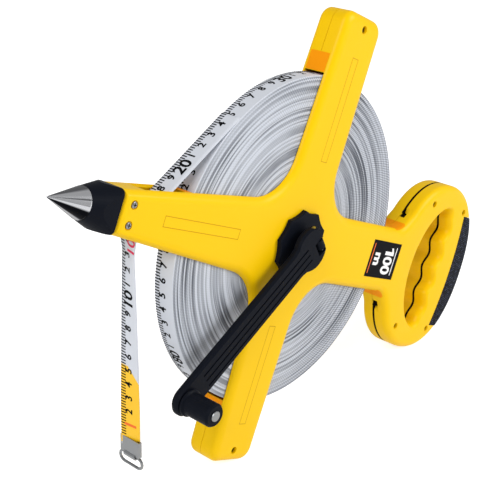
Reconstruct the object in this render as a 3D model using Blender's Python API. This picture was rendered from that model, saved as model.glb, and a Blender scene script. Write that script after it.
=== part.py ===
"""Open-reel surveyor's tape: a two-piece cross frame with a hand grip, a spike and a folding crank.

The reel is modelled in its own frame: X towards the hand grip, Z along the upper arm, the crank on
the -Y side. It then stands on its lower arm and the lower end of the grip, tilted by STAND_TILT.
"""

import math

import bmesh
import bpy
from mathutils import Matrix, Vector

MM = 0.001
GAP = 0.3 * MM
STAND_TILT = math.radians(24.5)

# Tape and its roll
TAPE_WIDTH = 15.6 * MM
TAPE_THICKNESS = 0.5 * MM
ROLL_RADIUS = 118 * MM
DRUM_RADIUS = 29.5 * MM
ROLL_SIDE = TAPE_WIDTH / 2

# Frame shells
FACE_Y = 12.7 * MM
RIM_Y = 8.2 * MM
WALL = 2.2 * MM
BEVEL_IN = 6.0 * MM
PARTING_Y = 0.15 * MM
ROLL_ROOM = ROLL_RADIUS + 2 * MM
ARM_ROOT_HALF = 24.4 * MM
ARM_TIP_HALF = 22.8 * MM
ARM_TIP_RADIUS = 10 * MM
ARM_FILLET = 34 * MM
SPIKE_ARM_END = 178.4 * MM
SPIKE_ARM_END_HALF = 13.6 * MM
SPIKE_ARM_ROOT_HALF = 28.7 * MM
NECK_HALF = 25.2 * MM
NECK_X = 137 * MM
NECK_FILLET = 16 * MM

# Hand grip: a superellipse ring with a D-shaped hole and four finger grooves
GRIP_X = 201 * MM
GRIP_HALF_X = 59.5 * MM
GRIP_HALF_Z = 72 * MM
GRIP_POWER = 2.2
GRIP_START_X = 150 * MM
HOLE_X = 211 * MM
HOLE_BOW = 41.5 * MM
HOLE_HALF_Z = 53 * MM
CREST_X = 208.6 * MM
CREST_HALF_Z = 46 * MM
HOLE_CORNER = 5.4 * MM
FINGER_PITCH = 23 * MM
FINGER_DEPTH = 2.7 * MM
GASKET_HALF = 0.9 * MM
GASKET_GAP = 0.15 * MM
PAD_START_X = 236.5 * MM
PAD_START_BOW = 5.5 * MM
PAD_HALF_Z = 49.6 * MM
PAD_THICKNESS = 1.6 * MM

# Hub and crank. The crank frame has X along the crank, Z across it, and its origin on the fold pin.
BORE_RADIUS = 19 * MM
JOURNAL_RADIUS = 16.45 * MM
JOURNAL_PLAY = 0.06 * MM
BUSH_RADIUS = 18.7 * MM
KNOB_CORNER_RADIUS = 25.8 * MM
KNOB_DISH = 1.0 * MM
KNOB_FIRST_CORNER = 33.5
KNOB_BACK_Y = -13.0 * MM
KNOB_FRONT_Y = -16.4 * MM
RECESS_RADIUS = 14.5 * MM
RECESS_FLOOR_Y = -10.0 * MM
CAP_RADIUS = 18 * MM
CAP_BACK_Y = 17.0 * MM
BOLT_RADIUS = 2.0 * MM
HEAD_RADIUS = 16.4 * MM
CRANK_FRONT_Y = -26.3 * MM
CRANK_BACK_Y = -21.0 * MM
CRANK_ANGLE = math.radians(127.8)
CRANK_RADIUS = 139 * MM
FOLD_RADIUS = 9.5 * MM
FOLD_Y = -23.6 * MM
FOLD_PIN_RADIUS = 1.7 * MM
FOLD_ROUND = 4.4 * MM
LUG_ROUND = 3.6 * MM
LUG_SIDES = (-1.0 * MM, 7.0 * MM)
SLOT_SIDES = (-1.6 * MM, 10 * MM)
SLOT_END = 5.9 * MM
CRANK_HALF_WIDTH = 10.5 * MM
GROOVE_PLACES = (-4.2 * MM, 0.8 * MM, 6.0 * MM)
GROOVE_HALF = 0.7 * MM
GROOVE_START = 13 * MM
GROOVE_END = 130 * MM
RIVET_FRONT_Y = -50.8 * MM

# Spike and collar
COLLAR_FRONT_X = -198.3 * MM
COLLAR_BACK_X = -178.7 * MM
SPIKE_TIP_X = -222.9 * MM
SPIKE_BASE_RADIUS = 9.9 * MM
COLLAR_HALF_Z = 13.9 * MM
COLLAR_HALF_Y = 12.7 * MM

# Guide roller where the tape leaves the spike arm
ROLLER_X = -149.6 * MM
ROLLER_Z = -9.4 * MM
ROLLER_RADIUS = 5 * MM
ROLLER_HALF = 8.2 * MM
GUIDE_PIN_RADIUS = 1.5 * MM
FREE_DROP = 152 * MM
HANG_ANGLE = 23.0

YELLOW = ("yellow_plastic", (0.97, 0.66, 0.01), 0.38, 0.0)
BLACK = ("black_plastic", (0.012, 0.013, 0.017), 0.42, 0.0)
RUBBER = ("black_rubber", (0.016, 0.018, 0.024), 0.75, 0.0)
STEEL = ("plated_steel", (0.62, 0.62, 0.6), 0.28, 1.0)
CHROME = ("chrome", (0.72, 0.73, 0.75), 0.08, 1.0)
TAPE_WHITE = ("tape_white", (0.78, 0.8, 0.84), 0.5, 0.0)
GREY = ("grey_plastic", (0.16, 0.17, 0.18), 0.5, 0.0)
LABEL = ("label_black", (0.015, 0.016, 0.02), 0.5, 0.0)


def clear_scene():
    for obj in list(bpy.data.objects):
        bpy.data.objects.remove(obj, do_unlink=True)


def new_collection(name):
    collection = bpy.data.collections.new(name)
    bpy.context.scene.collection.children.link(collection)
    return collection


def get_material(spec):
    name, colour, roughness, metallic = spec
    found = bpy.data.materials.get(name)
    if found:
        return found
    made = bpy.data.materials.new(name)
    made.use_nodes = True
    shader = made.node_tree.nodes["Principled BSDF"]
    shader.inputs["Base Color"].default_value = (*colour, 1.0)
    shader.inputs["Roughness"].default_value = roughness
    shader.inputs["Metallic"].default_value = metallic
    made.diffuse_color = (*colour, 1.0)
    return made


clear_scene()
PARTS = new_collection("surveyor_tape_reel")
CUTTERS = new_collection("cutters")


def new_empty(name, location=(0, 0, 0), turn=0.0, parent=None):
    """An empty turned about Y that holds pieces placed in its frame."""
    empty = bpy.data.objects.new(name, None)
    PARTS.objects.link(empty)
    empty.location = location
    empty.rotation_euler = (0, turn, 0)
    empty.parent = parent
    return empty


def add_mesh(name, bm, spec=None, parent=None, location=(0, 0, 0)):
    """Link a bmesh as a named part, or as a cutter when it has no material."""
    bmesh.ops.remove_doubles(bm, verts=bm.verts, dist=1e-7)
    bmesh.ops.recalc_face_normals(bm, faces=bm.faces)
    mesh = bpy.data.meshes.new(name)
    bm.to_mesh(mesh)
    bm.free()
    obj = bpy.data.objects.new(name, mesh)
    obj.parent = parent or REEL
    obj.location = location
    if spec:
        mesh.materials.append(get_material(spec))
        PARTS.objects.link(obj)
    else:
        obj.hide_render = True
        obj.display_type = "WIRE"
        CUTTERS.objects.link(obj)
    return obj


def boolean(obj, tool, operation="DIFFERENCE"):
    modifier = obj.modifiers.new(tool.name, "BOOLEAN")
    modifier.object = tool
    modifier.operation = operation
    modifier.solver = "EXACT"


def cut(obj, name, bm, parent=None, location=(0, 0, 0)):
    """Cut a bmesh out of a part."""
    boolean(obj, add_mesh(f"{obj.name}_{name}", bm, parent=parent, location=location))


def join(obj, name, bm, parent=None, location=(0, 0, 0)):
    """Fuse a bmesh to a part."""
    boolean(obj, add_mesh(f"{obj.name}_{name}", bm, parent=parent, location=location), "UNION")


def loft(levels):
    """A closed solid through outlines of equal length, each given as (y, [(x, z), ...])."""
    bm = bmesh.new()
    loops = []
    for y, outline in levels:
        loops.append([bm.verts.new((x, y, z)) for x, z in outline])
    for lower, upper in zip(loops, loops[1:]):
        for i in range(len(lower)):
            j = (i + 1) % len(lower)
            bm.faces.new((lower[i], lower[j], upper[j], upper[i]))
    bm.faces.new(loops[0])
    bm.faces.new(loops[-1])
    return bm


def turned(profile, steps, closed=False):
    """A solid of revolution about Y through (radius, y) points; closed joins the last to the first."""
    bm = bmesh.new()
    rings = []
    for radius, y in profile:
        if radius == 0:
            rings.append([bm.verts.new((0, y, 0))] * steps)
            continue
        turns = [math.tau * i / steps for i in range(steps)]
        rings.append([bm.verts.new((radius * math.cos(t), y, radius * math.sin(t))) for t in turns])
    pairs = list(zip(rings, rings[1:]))
    if closed:
        pairs.append((rings[-1], rings[0]))
    for lower, upper in pairs:
        for i in range(steps):
            j = (i + 1) % steps
            corners = dict.fromkeys((lower[i], lower[j], upper[j], upper[i]))
            bm.faces.new(list(corners))
    return bm


def bar(radius, y_low, y_high, steps=20):
    """A cylinder along Y."""
    return turned([(0, y_low), (radius, y_low), (radius, y_high), (0, y_high)], steps)


def cross_bar(radius, half_length, steps=20):
    """A cylinder along Z."""
    bm = bar(radius, -half_length, half_length, steps)
    bmesh.ops.rotate(bm, matrix=Matrix.Rotation(math.pi / 2, 3, "X"), verts=bm.verts)
    return bm


def long_bar(profile, steps):
    """A solid of revolution about X through (radius, x) points."""
    bm = turned(profile, steps)
    bmesh.ops.rotate(bm, matrix=Matrix.Rotation(-math.pi / 2, 3, "Z"), verts=bm.verts)
    return bm


def block(x_low, x_high, y_low, y_high, z_low, z_high):
    bm = bmesh.new()
    bmesh.ops.create_cube(bm, size=1.0)
    size = Matrix.Diagonal((x_high - x_low, abs(y_high - y_low), z_high - z_low, 1))
    middle = Vector((x_low + x_high, y_low + y_high, z_low + z_high)) / 2
    bmesh.ops.transform(bm, matrix=Matrix.Translation(middle) @ size, verts=bm.verts)
    return bm


def arc(centre, radius, start, end, steps):
    """Points on a circle from start to end, both in degrees."""
    angles = [math.radians(start + (end - start) * i / steps) for i in range(steps + 1)]
    return [(centre[0] + radius * math.cos(a), centre[1] + radius * math.sin(a)) for a in angles]


def direction(vector):
    return math.degrees(math.atan2(vector.y, vector.x))


def rounded(corners, steps=6):
    """An open line through (x, z, radius) corners, each inner corner rounded to its radius."""
    points = [corners[0][:2]]
    for before, corner, after in zip(corners, corners[1:], corners[2:]):
        here = Vector(corner[:2])
        to_before = (Vector(before[:2]) - here).normalized()
        to_after = (Vector(after[:2]) - here).normalized()
        half = to_before.angle(to_after) / 2
        centre = here + (to_before + to_after).normalized() * corner[2] / math.sin(half)
        reach = corner[2] / math.tan(half)
        start = direction(here + to_before * reach - centre)
        sweep = (direction(here + to_after * reach - centre) - start + 180) % 360 - 180
        points += arc(centre, corner[2], start, start + sweep, steps)
    points.append(corners[-1][:2])
    return points


def offset(outline, distance):
    """The closed clockwise outline moved outwards by distance, point by point."""
    moved = []
    count = len(outline)
    for i in range(count):
        here = Vector(outline[i])
        ahead = (Vector(outline[(i + 1) % count]) - here).normalized()
        behind = (here - Vector(outline[i - 1])).normalized()
        normal_ahead = Vector((-ahead.y, ahead.x))
        normal_behind = Vector((-behind.y, behind.x))
        bisector = (normal_ahead + normal_behind).normalized()
        reach = distance / max(0.5, bisector.dot(normal_ahead))
        moved.append(tuple(here + bisector * reach))
    return moved


def grip_arc(start_x, steps=22):
    """The upper half of the grip ring's outer outline, from start_x to the outermost point."""
    start = math.acos((start_x - GRIP_X) / GRIP_HALF_X)
    points = []
    for i in range(steps):
        share = math.cos(start * (1 - i / steps))
        height = GRIP_HALF_Z * (1 - abs(share) ** GRIP_POWER) ** (1 / GRIP_POWER)
        points.append((GRIP_X + GRIP_HALF_X * share, height))
    return points + [(GRIP_X + GRIP_HALF_X, 0.0)]


def arm_tip(length):
    """The upper arm's tip, from its -X side to its +X side."""
    left = arc((-ARM_TIP_HALF + ARM_TIP_RADIUS, length - ARM_TIP_RADIUS), ARM_TIP_RADIUS, 180, 90, 6)
    return left + [(-x, z) for x, z in reversed(left)]


def world_height(x, z):
    return -x * math.sin(STAND_TILT) + z * math.cos(STAND_TILT)


def world_along(x, z):
    return x * math.cos(STAND_TILT) + z * math.sin(STAND_TILT)


def standing_arm_length():
    """The arm length at which the lower arm's tip and the grip touch the floor together."""
    grip_low = min(world_height(x, -z) for x, z in grip_arc(GRIP_START_X))
    tip_low = min(world_height(x, -z) for x, z in arm_tip(0.0))
    return (tip_low - grip_low) / math.cos(STAND_TILT)


ARM_LENGTH = standing_arm_length()


def frame_outline():
    """The frame's outline at its widest, clockwise from the spike end."""
    spike_side = rounded(
        [
            (-SPIKE_ARM_END, SPIKE_ARM_END_HALF, 0),
            (-ARM_ROOT_HALF, SPIKE_ARM_ROOT_HALF, ARM_FILLET),
            (-ARM_TIP_HALF, ARM_LENGTH - ARM_TIP_RADIUS, 0),
        ]
    )
    neck = grip_arc(GRIP_START_X)[0]
    grip_side = rounded(
        [
            (ARM_TIP_HALF, ARM_LENGTH - ARM_TIP_RADIUS, 0),
            (ARM_ROOT_HALF, NECK_HALF, ARM_FILLET),
            (NECK_X, NECK_HALF + 1 * MM, NECK_FILLET),
            (*neck, 0),
        ]
    )
    upper = spike_side + arm_tip(ARM_LENGTH)[1:-1] + grip_side + grip_arc(GRIP_START_X)[1:]
    lower = [(x, -z) for x, z in reversed(upper[:-1])]
    return upper + lower


def hole_outline(groove_depth):
    """The hand hole, clockwise: a bowed inner side and a grooved finger side."""
    bow = []
    for i in range(17):
        angle = math.radians(74.6 * (i / 8 - 1))
        bow.append((HOLE_X - HOLE_BOW * math.cos(angle), HOLE_HALF_Z * math.sin(angle)))
    corner_x = CREST_X - HOLE_CORNER
    upper = arc((corner_x, CREST_HALF_Z), HOLE_CORNER, 76, 12, 4)
    lower = [(x, -z) for x, z in reversed(upper)]
    grooves = []
    steps = 32
    for i in range(steps + 1):
        z = CREST_HALF_Z * (1 - 2 * i / steps)
        x = CREST_X + groove_depth * (1 - math.cos(math.tau * z / FINGER_PITCH))
        grooves.append((x, z))
    return bow + upper + grooves + lower


FRAME = frame_outline()
HOLE = hole_outline(FINGER_DEPTH)
FRAME_LENGTHS = [world_along(x, z) for x, z in FRAME]
FRAME_HEIGHTS = [world_height(x, z) for x, z in FRAME]
MIDDLE_X = (world_along(SPIKE_TIP_X, 0) + max(FRAME_LENGTHS)) / 2
MIDDLE_Y = (RIVET_FRONT_Y + CAP_BACK_Y) / 2
REEL = new_empty("reel_frame", (-MIDDLE_X, -MIDDLE_Y, -min(FRAME_HEIGHTS)), STAND_TILT)
CRANK_OUT = Vector((math.cos(CRANK_ANGLE), 0, -math.sin(CRANK_ANGLE)))
FOLD_POINT = Vector((0, FOLD_Y, 0)) - CRANK_OUT * FOLD_RADIUS
CRANK = new_empty("crank_frame", FOLD_POINT, CRANK_ANGLE, REEL)
CRANK_AXIS = (-FOLD_POINT.x, 0, -FOLD_POINT.z)

CLAMP_SCREWS = {
    "grip_screw_upper_inner": (173.3 * MM, 53.0 * MM),
    "grip_screw_lower_inner": (173.3 * MM, -53.0 * MM),
    "grip_screw_upper_outer": (227.8 * MM, 53.0 * MM),
    "grip_screw_lower_outer": (227.8 * MM, -53.0 * MM),
    "upper_arm_screw": (0.0, ARM_LENGTH - 9 * MM),
    "lower_arm_screw": (0.0, -ARM_LENGTH + 9 * MM),
}
SPIKE_SCREWS = {
    "spike_screw_upper": (-169.0 * MM, 6.2 * MM),
    "spike_screw_lower": (-169.0 * MM, -6.2 * MM),
}
KNOB_SCREWS = {"knob_screw_1": 115.0, "knob_screw_2": 235.0, "knob_screw_3": 325.0}


def inset_levels(depth):
    """The frame's cross levels on its +Y side, moved inwards by depth all round."""
    return [
        (RIM_Y - 0.4 * depth, offset(FRAME, -depth)),
        (10.9 * MM - 0.7 * depth, offset(FRAME, -2.5 * MM - 0.7 * depth)),
        (FACE_Y - depth, offset(FRAME, -BEVEL_IN - 0.4 * depth)),
    ]


def double_sided(depth):
    """A solid across both halves of the frame, inset by depth."""
    levels = inset_levels(depth)
    return loft([(-y, outline) for y, outline in reversed(levels)] + levels)


def pad_room(name, slack):
    """What the rubber pad takes from the grip: everything outside a core, in the pad's extent."""
    half_z = PAD_HALF_Z + slack
    outline = [(280 * MM, half_z), (280 * MM, -half_z)]
    for i in range(9):
        share = i / 4 - 1
        outline.append((PAD_START_X - slack - PAD_START_BOW * share**2, half_z * share))
    room = add_mesh(name, loft([(-20 * MM, outline), (20 * MM, outline)]))
    cut(room, "core", double_sided(PAD_THICKNESS + slack))
    return room


def cavity(side):
    """The hollow of one shell, less its bridge wall, hub ring, screw bosses and solid ends."""
    narrow = offset(FRAME, -WALL)
    deep = offset(FRAME, -WALL - 3.4 * MM)
    plate_y = side * (FACE_Y - WALL)
    levels = [(-side * 1 * MM, narrow), (side * RIM_Y, narrow), (plate_y, deep)]
    hollow = add_mesh(f"cavity_{side:+d}", loft(levels))
    low, high = sorted((-side * 2 * MM, side * 14 * MM))
    ring = [(ROLL_ROOM, low), (ROLL_ROOM + WALL, low), (ROLL_ROOM + WALL, high), (ROLL_ROOM, high)]
    cut(hollow, "bridge", turned(ring, 96, closed=True))
    cut(hollow, "hub", bar(BORE_RADIUS + WALL, low, high, 40))
    cut(hollow, "spike_end", block(-185 * MM, -161.5 * MM, low, high, -30 * MM, 30 * MM))
    cut(hollow, "grip_bar", block(205 * MM, 280 * MM, low, high, -55 * MM, 55 * MM))
    wall = hole_outline(0.0)
    cut(hollow, "hole_wall", loft([(low, offset(wall, 8 * MM)), (high, offset(wall, 8 * MM))]))
    for name, (x, z) in CLAMP_SCREWS.items():
        cut(hollow, name, bar(5.2 * MM, low, high, 16), location=(x, 0, z))
    return hollow


def frame_shell(name, side):
    """One half of the frame: side -1 is the front, crank half, and +1 the rear half."""
    levels = [(PARTING_Y, FRAME)] + inset_levels(0.0)
    shell = add_mesh(name, loft([(side * y, outline) for y, outline in levels]), YELLOW)
    boolean(shell, cavity(side))
    flare = ((-1, 0.0), (8.2, 0.0), (10.9, 1.5), (12.7, 4.0), (13.7, 4.4))
    if side > 0:
        flare = ((-1, 0.0), (11.6, 0.0), (12.7, 0.8), (13.7, 1.6))
    cut(shell, "hand_hole", loft([(side * y * MM, offset(HOLE, out * MM)) for y, out in flare]))
    low, high = sorted((-side * 1 * MM, side * RIM_Y))
    cut(shell, "roll_room", bar(ROLL_ROOM, low, high, 96))
    low, high = sorted((-side * 1 * MM, side * (RIM_Y + 0.1 * MM)))
    cut(shell, "mouth_above", block(-160 * MM, -124.5 * MM, low, high, 8 * MM, 30 * MM))
    cut(shell, "mouth_below", block(-161 * MM, -141 * MM, low, high, -30 * MM, -12 * MM))
    low, high = sorted((-side * 1 * MM, side * 14 * MM))
    cut(shell, "hub_bore", bar(BORE_RADIUS, low, high, 40))
    low, high = sorted((-side * 1 * MM, side * 9.6 * MM))
    cut(shell, "tang_socket", block(-181 * MM, -160 * MM, low, high, -9.6 * MM, 9.6 * MM))
    low, high = sorted((-side * 1 * MM, side * (GASKET_HALF + GASKET_GAP)))
    cut(shell, "gasket_room", block(148.5 * MM, 270 * MM, low, high, -80 * MM, 80 * MM))
    boolean(shell, pad_room(f"{name}_pad_room", GAP))
    low, high = sorted((side * 5 * MM, side * 11.9 * MM))
    cut(shell, "pin_hole", bar(GUIDE_PIN_RADIUS + 0.1 * MM, low, high, 16), location=(ROLLER_X, 0, ROLLER_Z))
    return shell


def drill_front(shell):
    """Clearance holes and counterbores for the screws, and the label's recess."""
    for name, (x, z) in CLAMP_SCREWS.items():
        profile = [(0, -14), (2.7, -14), (2.7, -8.9), (1.5, -8.9), (1.5, 1), (0, 1)]
        hole = turned([(r * MM, y * MM) for r, y in profile], 14)
        cut(shell, name, hole, location=(x, 0, z))
    for name, (x, z) in SPIKE_SCREWS.items():
        profile = [(0, -14), (2.8, -14), (2.8, -11.7), (1.2, -11.7), (1.2, -9), (0, -9)]
        hole = turned([(r * MM, y * MM) for r, y in profile], 14)
        cut(shell, name, hole, location=(x, 0, z))
    recess = block(98.6 * MM, 141.7 * MM, -14 * MM, -12.2 * MM, -15.1 * MM, 15.1 * MM)
    cut(shell, "label_recess", recess)


def drill_rear(shell):
    for name, (x, z) in CLAMP_SCREWS.items():
        cut(shell, name, bar(1.3 * MM, -1 * MM, 9 * MM, 12), location=(x, 0, z))


def add_frame():
    front = frame_shell("front_frame_shell", -1)
    drill_front(front)
    rear = frame_shell("rear_frame_shell", 1)
    drill_rear(rear)
    gasket_edge = offset(FRAME, -0.05 * MM)
    gasket = add_mesh("grip_gasket", loft([(-GASKET_HALF, gasket_edge), (GASKET_HALF, gasket_edge)]), BLACK)
    cut(gasket, "end", block(-300 * MM, 149 * MM, -2 * MM, 2 * MM, -200 * MM, 200 * MM))
    edge = offset(HOLE, 0.05 * MM)
    cut(gasket, "hole", loft([(-2 * MM, edge), (2 * MM, edge)]))
    boolean(gasket, pad_room("gasket_pad_room", GAP))
    for name, (x, z) in CLAMP_SCREWS.items():
        cut(gasket, name, bar(1.5 * MM, -2 * MM, 2 * MM, 12), location=(x, 0, z))
    pad = add_mesh("grip_pad", double_sided(-0.3 * MM), RUBBER)
    boolean(pad, pad_room("pad_extent", 0.0), "INTERSECT")
    label = block(98.9 * MM, 141.4 * MM, -12.65 * MM, -12.35 * MM, -14.8 * MM, 14.8 * MM)
    add_mesh("label_plate", label, LABEL)


def screw(name, place, head_radius, head, shank_radius, end_y):
    """A pan-head screw from the front; head is (front y, seat y)."""
    front, seat = head
    profile = [
        (0, front),
        (head_radius * 0.75, front),
        (head_radius, front + 0.4 * MM),
        (head_radius, seat),
        (shank_radius, seat),
        (shank_radius, end_y - 0.6 * MM),
        (0, end_y),
    ]
    add_mesh(name, turned(profile, 14), STEEL, location=(place[0], 0, place[1]))


def add_screws():
    for name, place in CLAMP_SCREWS.items():
        screw(name, place, 2.4 * MM, (-10.7 * MM, -9.1 * MM), 1.2 * MM, 8.4 * MM)
    for name, place in SPIKE_SCREWS.items():
        screw(name, place, 2.1 * MM, (-13.1 * MM, -11.9 * MM), 1.0 * MM, -4.0 * MM)


def add_spike():
    """The collar with its tang in the frame, and the plated ground spike screwed into it."""
    collar_core = long_bar(
        [
            (0, COLLAR_FRONT_X),
            (10.1 * MM, COLLAR_FRONT_X),
            (17.3 * MM, COLLAR_BACK_X),
            (0, COLLAR_BACK_X),
        ],
        48,
    )
    collar = add_mesh("spike_collar", collar_core, BLACK)
    high = COLLAR_HALF_Z
    box = [(-COLLAR_HALF_Y, -high), (COLLAR_HALF_Y, -high), (COLLAR_HALF_Y, high), (-COLLAR_HALF_Y, high)]
    corner = 4 * MM
    outline = []
    for (y, z), start in zip(box, (180, 270, 0, 90)):
        centre = (y - math.copysign(corner, y), z - math.copysign(corner, z))
        outline += arc(centre, corner, start, start + 90, 4)
    hull = bmesh.new()
    loops = [[hull.verts.new((x, y, z)) for y, z in outline] for x in (-200 * MM, -178 * MM)]
    for i in range(len(outline)):
        j = (i + 1) % len(outline)
        hull.faces.new((loops[0][i], loops[0][j], loops[1][j], loops[1][i]))
    hull.faces.new(loops[0])
    hull.faces.new(loops[1])
    boolean(collar, add_mesh("collar_box", hull), "INTERSECT")
    tang = block(-182 * MM, -162 * MM, -9.3 * MM, 9.3 * MM, -9.3 * MM, 9.3 * MM)
    join(collar, "tang", tang)
    bore = [(0, -200 * MM), (3.1 * MM, -200 * MM), (3.1 * MM, -185 * MM), (0, -185 * MM)]
    cut(collar, "bore", long_bar(bore, 20))
    for name, (x, z) in SPIKE_SCREWS.items():
        cut(collar, name, bar(1.1 * MM, -10 * MM, -3.6 * MM, 12), location=(x, 0, z))
    spike = [
        (0, SPIKE_TIP_X),
        (0.5 * MM, SPIKE_TIP_X + 0.3 * MM),
        (SPIKE_BASE_RADIUS, COLLAR_FRONT_X - 0.9 * MM),
        (SPIKE_BASE_RADIUS, COLLAR_FRONT_X - GAP),
        (3.0 * MM, COLLAR_FRONT_X - GAP),
        (3.0 * MM, -185.6 * MM),
        (0, -185.6 * MM),
    ]
    add_mesh("ground_spike", long_bar(spike, 40), CHROME)


def add_guide():
    roller = [
        (GUIDE_PIN_RADIUS + 0.06 * MM, -ROLLER_HALF),
        (ROLLER_RADIUS, -ROLLER_HALF),
        (ROLLER_RADIUS, ROLLER_HALF),
        (GUIDE_PIN_RADIUS + 0.06 * MM, ROLLER_HALF),
    ]
    place = (ROLLER_X, 0, ROLLER_Z)
    add_mesh("guide_roller", turned(roller, 24, closed=True), GREY, location=place)
    add_mesh("guide_pin", bar(GUIDE_PIN_RADIUS, -11.7 * MM, 11.7 * MM, 24), STEEL, location=place)


def knob_outline(radius, dish):
    """A ten-cornered outline whose sides bow inwards by dish, clockwise."""
    points = []
    for k in range(10):
        start = math.radians(KNOB_FIRST_CORNER - 36 * k)
        corner = Vector((math.cos(start), math.sin(start))) * radius
        after = Vector((math.cos(start - math.radians(36)), math.sin(start - math.radians(36)))) * radius
        for i in range(4):
            share = i / 4
            sag = 4 * share * (1 - share) * dish
            point = corner.lerp(after, share)
            points.append(tuple(point - point.normalized() * sag))
    return points


def add_reel():
    """The turning group: drum, roll of tape, hub knob and rear cap."""
    bush = JOURNAL_RADIUS + JOURNAL_PLAY
    ring = [(bush, 8.4 * MM), (BUSH_RADIUS, 8.4 * MM), (BUSH_RADIUS, 12.5 * MM), (bush, 12.5 * MM)]
    add_mesh("rear_bush", turned(ring, 40, closed=True), GREY)
    add_mesh("front_bush", turned([(r, -y) for r, y in ring], 40, closed=True), GREY)
    drum = [
        (2.2 * MM, -7.6 * MM),
        (DRUM_RADIUS, -7.6 * MM),
        (DRUM_RADIUS, 7.6 * MM),
        (JOURNAL_RADIUS, 7.6 * MM),
        (JOURNAL_RADIUS, 12.7 * MM),
        (2.2 * MM, 12.7 * MM),
    ]
    drum = add_mesh("spool_drum", turned(drum, 40, closed=True), GREY)
    inner = DRUM_RADIUS + GAP
    roll = [
        (inner, -ROLL_SIDE),
        (ROLL_RADIUS, -ROLL_SIDE),
        (ROLL_RADIUS, ROLL_SIDE),
        (inner, ROLL_SIDE),
    ]
    add_mesh("tape_roll", turned(roll, 96, closed=True), TAPE_WHITE)
    edge = knob_outline(KNOB_CORNER_RADIUS, KNOB_DISH)
    front_edge = knob_outline(KNOB_CORNER_RADIUS - 0.6 * MM, KNOB_DISH)
    levels = [(KNOB_FRONT_Y, front_edge), (KNOB_FRONT_Y + 0.6 * MM, edge), (KNOB_BACK_Y, edge)]
    knob = add_mesh("hub_knob", loft(levels), BLACK)
    join(knob, "journal", bar(JOURNAL_RADIUS, -14 * MM, -7.9 * MM, 40))
    cut(knob, "recess", bar(RECESS_RADIUS, -16 * MM, RECESS_FLOOR_Y, 40))
    lug = arc((0, 0), LUG_ROUND, 180, 0, 12)
    lug += [(LUG_ROUND, -2.9 * MM), (16 * MM, -2.9 * MM), (16 * MM, -14.2 * MM), (-LUG_ROUND, -14.2 * MM)]
    lug = loft([(side, lug) for side in LUG_SIDES])
    bmesh.ops.rotate(lug, matrix=Matrix.Rotation(math.pi / 2, 3, "X"), verts=lug.verts)
    join(knob, "lug", lug, CRANK)
    cut(knob, "pin_bore", cross_bar(FOLD_PIN_RADIUS + 0.06 * MM, 12 * MM), CRANK)
    cut(knob, "bolt_bore", bar(BOLT_RADIUS + 0.1 * MM, -14 * MM, -7 * MM, 16))
    for name, angle in KNOB_SCREWS.items():
        place = arc((0, 0), 10 * MM, angle, angle, 1)[0]
        cut(knob, name, bar(1.3 * MM, -11 * MM, -7 * MM, 12), location=(place[0], 0, place[1]))
        cut(drum, name, bar(1.1 * MM, -8 * MM, -2 * MM, 12), location=(place[0], 0, place[1]))
        screw(name, place, 2.2 * MM, (-11.7 * MM, -10.2 * MM), 1.0 * MM, -2.6 * MM)
    cap = [
        (2.2 * MM, 13.0 * MM),
        (CAP_RADIUS, 13.0 * MM),
        (CAP_RADIUS, CAP_BACK_Y - 1 * MM),
        (CAP_RADIUS - 1 * MM, CAP_BACK_Y),
        (5.4 * MM, CAP_BACK_Y),
        (5.4 * MM, 14.4 * MM),
        (2.2 * MM, 14.4 * MM),
    ]
    add_mesh("rear_cap", turned(cap, 40, closed=True), BLACK)
    bolt = [
        (0, -13.4 * MM),
        (BOLT_RADIUS, -12.8 * MM),
        (BOLT_RADIUS, 14.6 * MM),
        (4.6 * MM, 14.6 * MM),
        (4.6 * MM, 16.2 * MM),
        (4.0 * MM, 16.7 * MM),
        (0, 16.7 * MM),
    ]
    bolt = add_mesh("hub_bolt", turned(bolt, 18), STEEL)
    cut(bolt, "socket", bar(1.8 * MM, 15.4 * MM, 18 * MM, 6))


def crank_outline(inset):
    """The crank's outline in its own frame, from the head round to the rounded tip."""
    head_x = FOLD_RADIUS
    tip_x = FOLD_RADIUS + CRANK_RADIUS
    half = CRANK_HALF_WIDTH - inset
    head = HEAD_RADIUS - inset
    shoulder = math.degrees(math.asin((half + 1.2 * MM) / head))
    upper = arc((head_x, 0), head, 180, shoulder, 16)[1:]
    waist = (head_x + math.sqrt(head**2 - half**2) + 4 * MM, half)
    tip = arc((tip_x, 0), half, 90, 0, 8)
    upper = upper + [waist] + tip
    lower = [(x, -z) for x, z in reversed(upper[:-1])]
    return [(head_x - head, 0)] + upper + lower


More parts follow.
